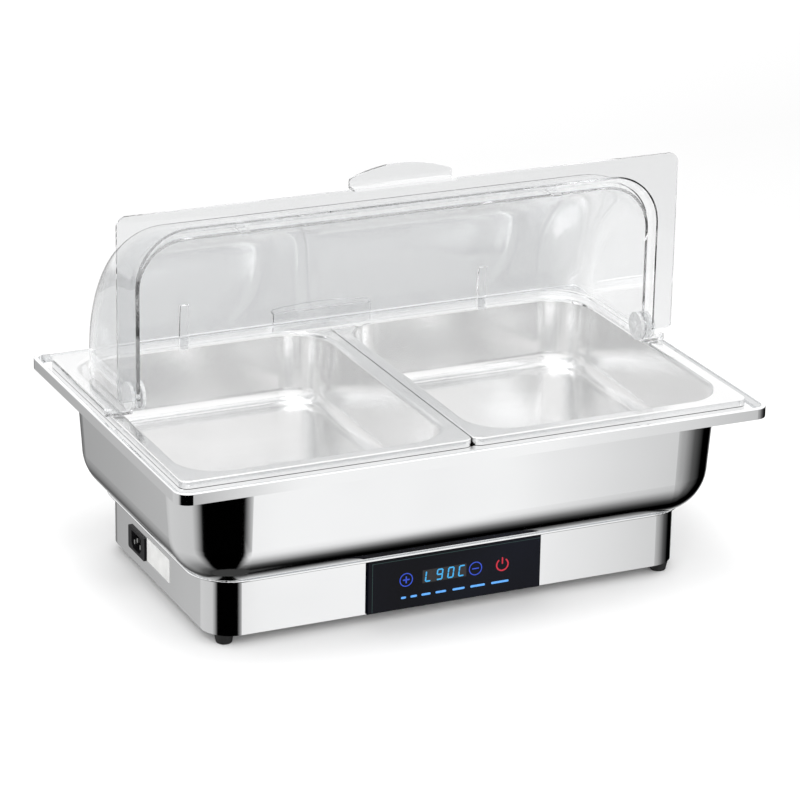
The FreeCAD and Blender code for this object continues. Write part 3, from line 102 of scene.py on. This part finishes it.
def steps_of(tree, value, low, high, stops):
    """A colour ramp with a stop at each place from low to high."""
    scaled = tree.nodes.new("ShaderNodeMapRange")
    scaled.inputs["From Min"].default_value = low
    scaled.inputs["From Max"].default_value = high
    tree.links.new(value, scaled.inputs["Value"])
    ramp = tree.nodes.new("ShaderNodeValToRGB")
    elements = ramp.color_ramp.elements
    while len(elements) < len(stops):
        elements.new(0.5)
    for element, (place, bright) in zip(elements, stops):
        element.position = (place - low) / (high - low)
        element.color = (bright, bright, bright, 1)
    tree.links.new(scaled.outputs["Result"], ramp.inputs["Fac"])
    return ramp.outputs["Color"]


class Finish:
    """One procedural material: its shader and the nodes that feed it."""

    def __init__(self, name):
        self.material = bpy.data.materials.new(name)
        self.material.use_nodes = True
        self.tree = self.material.node_tree
        self.shader = self.tree.nodes["Principled BSDF"]
        coordinates = self.tree.nodes.new("ShaderNodeTexCoord")
        self.place = coordinates.outputs["Object"]
        self.normal = coordinates.outputs["Normal"]

    def constant(self, **values):
        for socket, value in values.items():
            self.shader.inputs[socket.replace("_", " ")].default_value = value

    def stretched(self, scale):
        mapping = self.tree.nodes.new("ShaderNodeMapping")
        mapping.inputs["Scale"].default_value = scale
        self.tree.links.new(self.place, mapping.inputs["Vector"])
        return mapping.outputs["Vector"]

    def noise(self, scale, detail=3.0, stretch=None):
        node = self.tree.nodes.new("ShaderNodeTexNoise")
        node.inputs["Scale"].default_value = scale
        node.inputs["Detail"].default_value = detail
        place = self.stretched(stretch) if stretch else self.place
        self.tree.links.new(place, node.inputs["Vector"])
        return node.outputs["Fac"]

    def between(self, value, low, high, at=(0.3, 0.7)):
        """A number that follows value from low to high."""
        node = self.tree.nodes.new("ShaderNodeMapRange")
        node.inputs["From Min"].default_value = at[0]
        node.inputs["From Max"].default_value = at[1]
        node.inputs["To Min"].default_value = low
        node.inputs["To Max"].default_value = high
        self.tree.links.new(value, node.inputs["Value"])
        return node.outputs["Result"]

    def colours(self, value, dark, light, at=(0.3, 0.7)):
        """A colour that follows value from dark to light."""
        node = self.tree.nodes.new("ShaderNodeValToRGB")
        node.color_ramp.elements[0].position = at[0]
        node.color_ramp.elements[0].color = (*dark, 1)
        node.color_ramp.elements[1].position = at[1]
        node.color_ramp.elements[1].color = (*light, 1)
        self.tree.links.new(value, node.inputs["Fac"])
        return node.outputs["Color"]

    def mixed(self, first, second, share):
        """The second value with a share of the first."""
        node = self.tree.nodes.new("ShaderNodeMix")
        node.inputs["Factor"].default_value = share
        self.tree.links.new(second, node.inputs["A"])
        self.tree.links.new(first, node.inputs["B"])
        return node.outputs["Result"]

    def feed(self, socket, output):
        self.tree.links.new(output, self.shader.inputs[socket])

    def bump(self, value, depth, strength=1.0):
        node = self.tree.nodes.new("ShaderNodeBump")
        node.inputs["Strength"].default_value = strength
        node.inputs["Distance"].default_value = depth
        self.tree.links.new(value, node.inputs["Height"])
        self.feed("Normal", node.outputs["Normal"])


def darker(share, colour):
    """The same colour, with this share of its brightness."""
    return tuple(c * share for c in colour)


# The cloud is this many times coarser than the grain.
CLOUD_SIZE = 12
CLOUD_SHADE = 0.85
GLOSS_SPREAD = 0.08


def plain_finish(name, colour, metallic, roughness, grain, depth, specular):
    """A finish with fine bumps, a cloud of darker colour, and gloss that changes a little."""
    made = Finish(name)
    made.constant(Metallic=metallic, Specular_IOR_Level=specular)
    cloud = made.noise(grain / CLOUD_SIZE)
    made.feed("Base Color", made.colours(cloud, darker(CLOUD_SHADE, colour), colour))
    fine = made.noise(grain, detail=4)
    made.feed("Roughness", made.between(fine, roughness - GLOSS_SPREAD, roughness + GLOSS_SPREAD))
    made.bump(fine, depth)
    return made.material


def give(material, *names):
    for name in names:
        node = nodes[name]
        node.data.materials.clear()
        node.data.materials.append(material)


# Finishes of the slots.


def polished_steel():
    made = Finish("polished_steel")
    made.constant(Metallic=1.0)
    cloud = made.noise(9, detail=2)
    made.feed("Base Color", made.colours(cloud, (0.86, 0.865, 0.87), (0.9, 0.905, 0.91)))
    fine = made.noise(260, detail=5, stretch=(1, 1, 6))
    made.feed("Roughness", made.between(fine, 0.06, 0.10))
    made.bump(fine, depth=0.00002, strength=0.3)
    return made.material


def satin_steel():
    made = Finish("satin_steel")
    made.constant(Metallic=1.0)
    cloud = made.noise(14, detail=3)
    made.feed("Base Color", made.colours(cloud, (0.80, 0.80, 0.80), (0.84, 0.84, 0.84)))
    fine = made.noise(500, detail=2)
    made.feed("Roughness", made.between(fine, 0.17, 0.21))
    made.bump(fine, depth=0.00001, strength=0.15)
    return made.material


# Depth in the cover, and how much painted shade greys an upright surface there: flange, back wall, grip.
COVER_PAINTED_SHADE_DEPTHS = (
    (-0.02, 0.75),
    (0.0, 0.75),
    (0.1, 1.0),
    (0.152, 1.0),
    (0.156, 0.2),
    (0.18, 0.2),
)
PLASTIC_CLEAR = (0.975, 0.978, 0.98)
# The colour of the painted shade on the cover.
PLASTIC_PAINTED_SHADE = (0.80, 0.805, 0.81)
CLOUD_SHARE = 0.12


def upright_painted_shade(made):
    """Painted shade on the cover's upright walls: how far the surface faces front or back, from 0 to 1, by
    its share in COVER_PAINTED_SHADE_DEPTHS.
    """
    facing = result_of(made.tree, "ABSOLUTE", parts_of(made.tree, made.normal)["Y"])
    depth = parts_of(made.tree, made.place)["Y"]
    low, high = COVER_PAINTED_SHADE_DEPTHS[0][0], COVER_PAINTED_SHADE_DEPTHS[-1][0]
    return result_of(made.tree, "MULTIPLY", facing, steps_of(made.tree, depth, low, high, COVER_PAINTED_SHADE_DEPTHS))


def clear_plastic():
    made = Finish("clear_plastic")
    made.constant(Transmission_Weight=1.0, IOR=1.49)
    # The colour is painted shade, grey on the walls that face front or back, with a little random cloud.
    cloud_and_painted_shade = made.mixed(made.noise(6, detail=2), upright_painted_shade(made), CLOUD_SHARE)
    made.feed("Base Color", made.colours(cloud_and_painted_shade, PLASTIC_CLEAR, PLASTIC_PAINTED_SHADE, at=(0.1, 0.88)))
    made.feed("Roughness", made.between(made.noise(40, detail=3), 0.0, 0.02))
    made.bump(made.noise(11, detail=1.5), depth=0.0006, strength=0.35)
    # A little light is lost on the way through, which makes the edges grey.
    inside = made.tree.nodes.new("ShaderNodeVolumeAbsorption")
    inside.inputs["Color"].default_value = (0.5, 0.5, 0.5, 1)
    inside.inputs["Density"].default_value = 3
    made.tree.links.new(inside.outputs[0], made.tree.nodes["Material Output"].inputs["Volume"])
    return made.material


def moulded_plastic():
    """The cover's plastic where it is thick and a little cloudy: the pivot caps."""
    made = Finish("moulded_plastic")
    made.constant(Transmission_Weight=0.55, IOR=1.49)
    cloud = made.noise(420, detail=2)
    made.feed("Base Color", made.colours(cloud, (0.70, 0.705, 0.71), (0.93, 0.935, 0.94)))
    made.feed("Roughness", made.between(cloud, 0.05, 0.25))
    made.bump(cloud, depth=0.0012, strength=0.8)
    return made.material


def black_glass():
    made = Finish("black_glass")
    made.constant(IOR=1.5, Specular_IOR_Level=0.1)
    cloud = made.noise(7, detail=2)
    made.feed("Base Color", made.colours(cloud, (0.002, 0.002, 0.003), (0.004, 0.005, 0.010)))
    made.feed("Roughness", made.between(made.noise(60, detail=4), 0.03, 0.07))
    made.bump(made.noise(8, detail=1), depth=0.0002, strength=0.1)
    return made.material


# Colour, metallic, roughness, grain and the depth of the grain.
SLOT_FINISHES = {
    "black_plastic": ((0.010, 0.010, 0.011), 0, 0.38, 1400, 0.00003),
    "rubber": ((0.012, 0.012, 0.012), 0, 0.7, 900, 0.00006),
    "zinc_steel": ((0.62, 0.63, 0.62), 1, 0.4, 500, 0.00003),
    "aluminium": ((0.82, 0.83, 0.84), 1, 0.36, 700, 0.00002),
    "heater_sheath": ((0.24, 0.23, 0.20), 1, 0.5, 600, 0.00004),
    "ceramic": ((0.86, 0.83, 0.76), 0, 0.42, 700, 0.00004),
    "insulation": ((0.78, 0.74, 0.62), 0, 0.92, 420, 0.0006),
    "brass": ((0.80, 0.62, 0.30), 1, 0.28, 600, 0.00002),
    "circuit_board": ((0.02, 0.16, 0.06), 0, 0.36, 520, 0.00004),
    "display_plastic": ((0.03, 0.03, 0.035), 0, 0.3, 900, 0.00003),
    "relay_plastic": ((0.03, 0.10, 0.42), 0, 0.33, 900, 0.00003),
    "transformer_plastic": ((0.55, 0.42, 0.08), 0, 0.45, 700, 0.00005),
    "terminal_plastic": ((0.06, 0.30, 0.10), 0, 0.36, 900, 0.00003),
    "cable_black": ((0.016, 0.016, 0.016), 0, 0.48, 900, 0.00004),
    "silicone_lead": ((0.62, 0.08, 0.05), 0, 0.55, 900, 0.00005),
    "earth_sheath": ((0.18, 0.42, 0.06), 0, 0.5, 900, 0.00004),
    "plate_metal": ((0.80, 0.80, 0.79), 0, 0.42, 800, 0.00002),
}
PLAIN_SPECULAR = 0.5
# The inlet lies in the light, and its plastic mirrors little of it.
LOW_SPECULAR = {"black_plastic": 0.1}

materials = {
    "polished_steel": polished_steel(),
    "satin_steel": satin_steel(),
    "clear_plastic": clear_plastic(),
    "black_glass": black_glass(),
}
for slot_name, values in SLOT_FINISHES.items():
    specular = LOW_SPECULAR.get(slot_name, PLAIN_SPECULAR)
    materials[slot_name] = plain_finish(slot_name, *values, specular)
for node_name in nodes:
    give(materials[slot_of[node_name]], node_name)
RIVETS = ("pivot_rivet_left", "pivot_rivet_right")
give(moulded_plastic(), *RIVETS)
# The photograph shows no shadow of the clear pieces.
for name in ("cover_rear", "cover_front", *RIVETS):
    nodes[name].visible_shadow = False


# Marks of the touch panel: flat strokes on the glass. Their places and sizes are x and z in millimetres.

MM = 0.001
GLASS_LOW, GLASS_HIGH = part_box("control_glass")
GLASS_FACE = GLASS_LOW.y
MARK_THICKNESS = 0.12 * MM
WINDOW_THICKNESS = 0.05 * MM
WINDOW_FACE = GLASS_FACE - WINDOW_THICKNESS
ROUND_STEPS = 8
RING_STEPS = 48


def bar(start, end, width):
    """The outline of a stroke with round ends."""
    ahead = (Vector(end) - Vector(start)).normalized()
    first = math.atan2(ahead.y, ahead.x) + math.pi / 2
    outline = []
    for centre, turn in ((start, first), (end, first + math.pi)):
        for i in range(ROUND_STEPS + 1):
            angle = turn + math.pi * i / ROUND_STEPS
            x = centre[0] + width / 2 * math.cos(angle)
            z = centre[1] + width / 2 * math.sin(angle)
            outline.append((x, z))
    return [outline]


def arc(centre, radius, width, start=0.0, sweep=360.0):
    """A ring, or a part of one, as a row of four-sided pieces."""
    made = []
    for i in range(RING_STEPS):
        corners = []
        for step, side in ((i, -1), (i + 1, -1), (i + 1, 1), (i, 1)):
            angle = math.radians(start + sweep * step / RING_STEPS)
            reach = radius + side * width / 2
            corners.append((centre[0] + reach * math.cos(angle), centre[1] + reach * math.sin(angle)))
        made.append(corners)
    return made


def rectangle(x0, x1, z0, z1):
    return [[(x0, z0), (x1, z0), (x1, z1), (x0, z1)]]


def mark(name, outlines, material, face=GLASS_FACE, thickness=MARK_THICKNESS, body="base"):
    """Outlines as thin solids on the plane y = face, raised towards -Y."""
    shape = bmesh.new()
    for outline in outlines:
        back = [shape.verts.new((x * MM, face, z * MM)) for x, z in outline]
        base = shape.faces.new(back)
        grown = bmesh.ops.extrude_face_region(shape, geom=[base])
        front = [v for v in grown["geom"] if isinstance(v, bmesh.types.BMVert)]
        bmesh.ops.translate(shape, verts=front, vec=(0, -thickness, 0))
    bmesh.ops.remove_doubles(shape, verts=shape.verts, dist=1e-6)
    bmesh.ops.recalc_face_normals(shape, faces=shape.faces)
    mesh = bpy.data.meshes.new(name)
    shape.to_mesh(mesh)
    shape.free()
    mesh.materials.append(material)
    made = bpy.data.objects.new(name, mesh)
    bpy.context.scene.collection.objects.link(made)
    made.visible_glossy = False
    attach(made, body)


INK_SHADE = 0.2
GLOW = 0.85
DIM_GLOW = 0.3


def lit(name, dark, light, strength=GLOW):
    """A printed mark with light behind it, or a painted highlight drawn as a glowing mark: the light is a
    little uneven.
    """
    made = Finish(name)
    uneven = made.noise(420, detail=2)
    made.feed("Base Color", made.colours(uneven, darker(INK_SHADE, dark), darker(INK_SHADE, light)))
    made.feed("Emission Color", made.colours(uneven, dark, light))
    made.constant(Roughness=0.25, Emission_Strength=strength)
    made.bump(made.noise(1500), depth=0.00001)
    return made.material


# The seven strokes of a digit, as corners of a 2 by 1 grid: a b c d e f g.
STROKES = {
    "a": ((0, 2), (1, 2)),
    "b": ((1, 2), (1, 1)),
    "c": ((1, 1), (1, 0)),
    "d": ((0, 0), (1, 0)),
    "e": ((0, 1), (0, 0)),
    "f": ((0, 2), (0, 1)),
    "g": ((0, 1), (1, 1)),
}
# The reading: L, 9, 0, C.
DIGIT_STROKES = ("def", "abcdfg", "abcdef", "adef")
DIGIT_LEFTS = (-28.3, -17.6, -7.0, 3.4)
DIGIT_LOW = 32.6
DIGIT_WIDTH = 4.9
DIGIT_HALF = 4.6
DIGIT_LEAN = 0.11
STROKE_WIDTH = 1.25
STROKE_CUT = 0.75


def digit(left, strokes):
    made = []
    for letter in strokes:
        ends = []
        for column, row in STROKES[letter]:
            height = row * DIGIT_HALF
            ends.append(Vector((left + column * DIGIT_WIDTH + height * DIGIT_LEAN, DIGIT_LOW + height)))
        ahead = (ends[1] - ends[0]).normalized() * STROKE_CUT
        made += bar(ends[0] + ahead, ends[1] - ahead, STROKE_WIDTH)
    return made


PLUS = (-46.5, 37.0)
MINUS = (19.6, 37.0)
KEY_RADIUS = 5.9
KEY_WIDTH = 0.85
PLUS_REACH = 2.6
PLUS_WIDTH = 1.3
MINUS_REACH = 2.8
MINUS_WIDTH = 1.0

POWER = (45.5, 36.6)
POWER_RADIUS = 5.5
POWER_WIDTH = 1.3
# The ring is open at the top, in degrees from +X, and a bar stands in the gap.
POWER_START = 125
POWER_SWEEP = 290
POWER_BAR = (1.2, 6.2)

# Left, right, low and high edge.
WINDOW = (-31.0, 10.8, 31.2, 43.2)

DASH_HEIGHT = 20.6
DASH_WIDTH = 2.0
# Left and right end of each dash.
DASHES = (
    (-51.2, -46.4),
    (-42.2, -36.0),
    (-31.8, -23.0),
    (-18.4, -8.2),
    (-2.1, 9.6),
    (15.0, 29.1),
    (35.1, 52.0),
)

# The bevel line is a painted highlight that glows along the left and the top edge of the glass.
BEVEL_LEFT = 4.2
BEVEL_TOP = 2.4
BEVEL_WIDTH = 0.45
BEVEL_END = 1.0


def level_bar(centre, reach, width):
    x, z = centre
    return bar((x - reach, z), (x + reach, z), width)


def upright_bar(centre, low, high, width):
    x, z = centre
    return bar((x, z + low), (x, z + high), width)


def make_keys():
    blue = lit("mark_blue", (0.012, 0.05, 0.48), (0.018, 0.075, 0.66))
    red = lit("mark_red", (0.48, 0.006, 0.025), (0.64, 0.010, 0.040))
    cross = level_bar(PLUS, PLUS_REACH, PLUS_WIDTH)
    cross += upright_bar(PLUS, -PLUS_REACH, PLUS_REACH, PLUS_WIDTH)
    mark("mark_plus_ring", arc(PLUS, KEY_RADIUS, KEY_WIDTH), blue)
    mark("mark_plus_cross", cross, blue)
    mark("mark_minus_ring", arc(MINUS, KEY_RADIUS, KEY_WIDTH), blue)
    mark("mark_minus_bar", level_bar(MINUS, MINUS_REACH, MINUS_WIDTH), blue)
    mark("mark_power_ring", arc(POWER, POWER_RADIUS, POWER_WIDTH, POWER_START, POWER_SWEEP), red)
    mark("mark_power_bar", upright_bar(POWER, *POWER_BAR, POWER_WIDTH), red)


def make_display():
    cyan = lit("mark_cyan", (0.03, 0.36, 0.72), (0.05, 0.45, 0.88))
    unlit = lit("mark_unlit", (0.012, 0.009, 0.010), (0.022, 0.015, 0.017), DIM_GLOW)
    smoked = lit("display_window", (0.006, 0.004, 0.005), (0.011, 0.008, 0.009), DIM_GLOW)
    mark("display_window", rectangle(*WINDOW), smoked, thickness=WINDOW_THICKNESS)
    on, off = [], []
    for left, strokes in zip(DIGIT_LEFTS, DIGIT_STROKES):
        on += digit(left, strokes)
        off += digit(left, [k for k in STROKES if k not in strokes])
    mark("display_digits", on, cyan, face=WINDOW_FACE)
    mark("display_digits_unlit", off, unlit, face=WINDOW_FACE, thickness=WINDOW_THICKNESS)


def make_dashes():
    pale_blue = lit("mark_pale_blue", (0.09, 0.36, 0.86), (0.13, 0.44, 1.0))
    dashes = []
    half = DASH_WIDTH / 2
    for left, right in DASHES:
        dashes += bar((left + half, DASH_HEIGHT), (right - half, DASH_HEIGHT), DASH_WIDTH)
    mark("level_dashes", dashes, pale_blue)


def make_bevel_highlight():
    # The bevel line is a painted highlight, drawn as a glowing mark.
    bevel = lit("glass_bevel", (0.003, 0.025, 0.022), (0.006, 0.045, 0.040))
    left, right = GLASS_LOW.x / MM + BEVEL_LEFT, GLASS_HIGH.x / MM - BEVEL_END
    low, top = GLASS_LOW.z / MM + BEVEL_END, GLASS_HIGH.z / MM - BEVEL_TOP
    lines = rectangle(left, left + BEVEL_WIDTH, low, top)
    lines += rectangle(left + BEVEL_WIDTH, right, top - BEVEL_WIDTH, top)
    mark("glass_bevel_painted_highlight", lines, bevel, thickness=WINDOW_THICKNESS)


make_keys()
make_display()
make_dashes()
make_bevel_highlight()


# Stage: the floor, the sky, and a ring of cards that only the steel's reflections see.


def stage_mesh(name, points, faces):
    mesh = bpy.data.meshes.new(name)
    mesh.from_pydata(points, [], faces)
    made = bpy.data.objects.new(name, mesh)
    bpy.context.scene.collection.objects.link(made)
    return made


# Depth on the floor, and how pale it is there: painted light, paler round the object, which lightens its
# shadow, and darker away from it.
FLOOR_PAINTED_LIGHT_STEPS = (
    (-3.0, 0.70),
    (-0.9, 0.72),
    (-0.55, 0.90),
    (0.1, 0.90),
    (0.45, 0.73),
    (0.7, 0.70),
    (1.1, 0.70),
    (1.8, 0.78),
    (3.0, 0.78),
)
FLOOR_HALF = 12


def make_floor():
    corners = [(x * FLOOR_HALF, y * FLOOR_HALF, 0) for x, y in ((-1, -1), (1, -1), (1, 1), (-1, 1))]
    floor = stage_mesh("floor", corners, [(0, 1, 2, 3)])
    floor.visible_glossy = False
    made = Finish("floor")
    made.constant(Roughness=0.9, Specular_IOR_Level=0.0)
    depth = parts_of(made.tree, made.place)["Y"]
    low, high = FLOOR_PAINTED_LIGHT_STEPS[0][0], FLOOR_PAINTED_LIGHT_STEPS[-1][0]
    # Painted light: the floor is paler round the object, which lightens its shadow.
    made.feed("Base Color", steps_of(made.tree, depth, low, high, FLOOR_PAINTED_LIGHT_STEPS))
    floor.data.materials.append(made.material)


CARD_RADIUS = 1.0
CARD_TOP = 0.02
CARD_BOTTOM = -3.0
CARD_SIDES = 96

# Compass heading from the centre (0 behind, 90 right, 180 in front, -90 left), and brightness there.
CARD_HEADINGS = (
    (-180, 0.32), (-175, 0.0), (-114, 0.0), (-106, 0.35), (-98, 0.62), (-48, 0.66), (-35, 0.52), (-24, 0.30),
    (-10, 0.09), (-4, 0.28), (3, 0.55), (52, 0.66), (62, 0.10), (70, 0.0), (95, 0.0), (115, 0.10),
    (135, 0.42), (147, 0.78), (154, 1.0), (170, 1.0), (178, 0.45), (180, 0.32),
)
# Height of the card, and the share of the brightness there.
CARD_HEIGHTS = ((-3.0, 0.05), (-1.9, 0.18), (-1.2, 0.48), (-0.75, 0.86), (-0.55, 1.0), (0.02, 1.0))


def make_cards():
    points, faces = [], []
    for i in range(CARD_SIDES):
        angle = 2 * math.pi * i / CARD_SIDES
        x, y = CARD_RADIUS * math.sin(angle), CARD_RADIUS * math.cos(angle)
        points += [(x, y, CARD_BOTTOM), (x, y, CARD_TOP)]
        j = (i + 1) % CARD_SIDES
        faces.append((2 * i, 2 * j, 2 * j + 1, 2 * i + 1))
    cards = stage_mesh("cards", points, faces)
    cards.visible_camera = False
    cards.visible_diffuse = False
    cards.visible_shadow = False
    cards.visible_transmission = False
    material = bpy.data.materials.new("cards")
    material.use_nodes = True
    tree = material.node_tree
    tree.nodes.clear()
    place = parts_of(tree, tree.nodes.new("ShaderNodeTexCoord").outputs["Object"])
    heading = result_of(tree, "ARCTAN2", place["X"], place["Y"])
    stops = [(math.radians(angle), bright) for angle, bright in CARD_HEADINGS]
    around = steps_of(tree, heading, -math.pi, math.pi, stops)
    upright = steps_of(tree, place["Z"], CARD_BOTTOM, CARD_TOP, CARD_HEIGHTS)
    both = tree.nodes.new("ShaderNodeMixRGB")
    both.blend_type = "MULTIPLY"
    both.inputs["Fac"].default_value = 1
    tree.links.new(around, both.inputs["Color1"])
    tree.links.new(upright, both.inputs["Color2"])
    glow = tree.nodes.new("ShaderNodeEmission")
    tree.links.new(both.outputs["Color"], glow.inputs["Color"])
    out = tree.nodes.new("ShaderNodeOutputMaterial")
    tree.links.new(glow.outputs[0], out.inputs["Surface"])
    cards.data.materials.append(material)


# Sine of the height above the horizon, and the sky's brightness there.
SKY_STEPS = ((-1.0, 0.05), (-0.2, 0.05), (-0.12, 1.0), (0.2, 1.15), (0.5, 1.2), (1.0, 1.35))


def make_sky():
    world = bpy.data.worlds.new("studio")
    bpy.context.scene.world = world
    world.use_nodes = True
    tree = world.node_tree
    back = tree.nodes["Background"]
    ahead = tree.nodes.new("ShaderNodeTexCoord").outputs["Generated"]
    rise = parts_of(tree, ahead)["Z"]
    tree.links.new(steps_of(tree, rise, -1, 1, SKY_STEPS), back.inputs["Color"])


LAMP_POWER = 14


def make_lamp(name, place, aim, size):
    data = bpy.data.lights.new(name, "AREA")
    data.shape = "RECTANGLE"
    data.size, data.size_y = size
    data.energy = LAMP_POWER
    lamp = bpy.data.objects.new(name, data)
    bpy.context.scene.collection.objects.link(lamp)
    lamp.location = place
    lamp.rotation_mode = "QUATERNION"
    lamp.rotation_quaternion = (Vector(aim) - Vector(place)).to_track_quat("-Z", "Y")
    lamp.visible_camera = False
    return lamp


make_floor()
make_cards()
make_sky()
make_lamp("top_light", place=(-0.3, -0.2, 2.2), aim=(0, 0, 0.1), size=(1.6, 1.2))
front = make_lamp("front_light", place=(-0.7, -1.9, 1.1), aim=(0, -0.3, 0), size=(2.2, 1.0))
front.visible_glossy = False
bpy.context.scene.view_settings.view_transform = "Standard"

# Light runs a long way inside the cover's edges, and with fewer bounces they turn black.
BOUNCES = 128
bpy.context.scene.cycles.max_bounces = BOUNCES
bpy.context.scene.cycles.transmission_bounces = BOUNCES
bpy.context.scene.cycles.glossy_bounces = BOUNCES
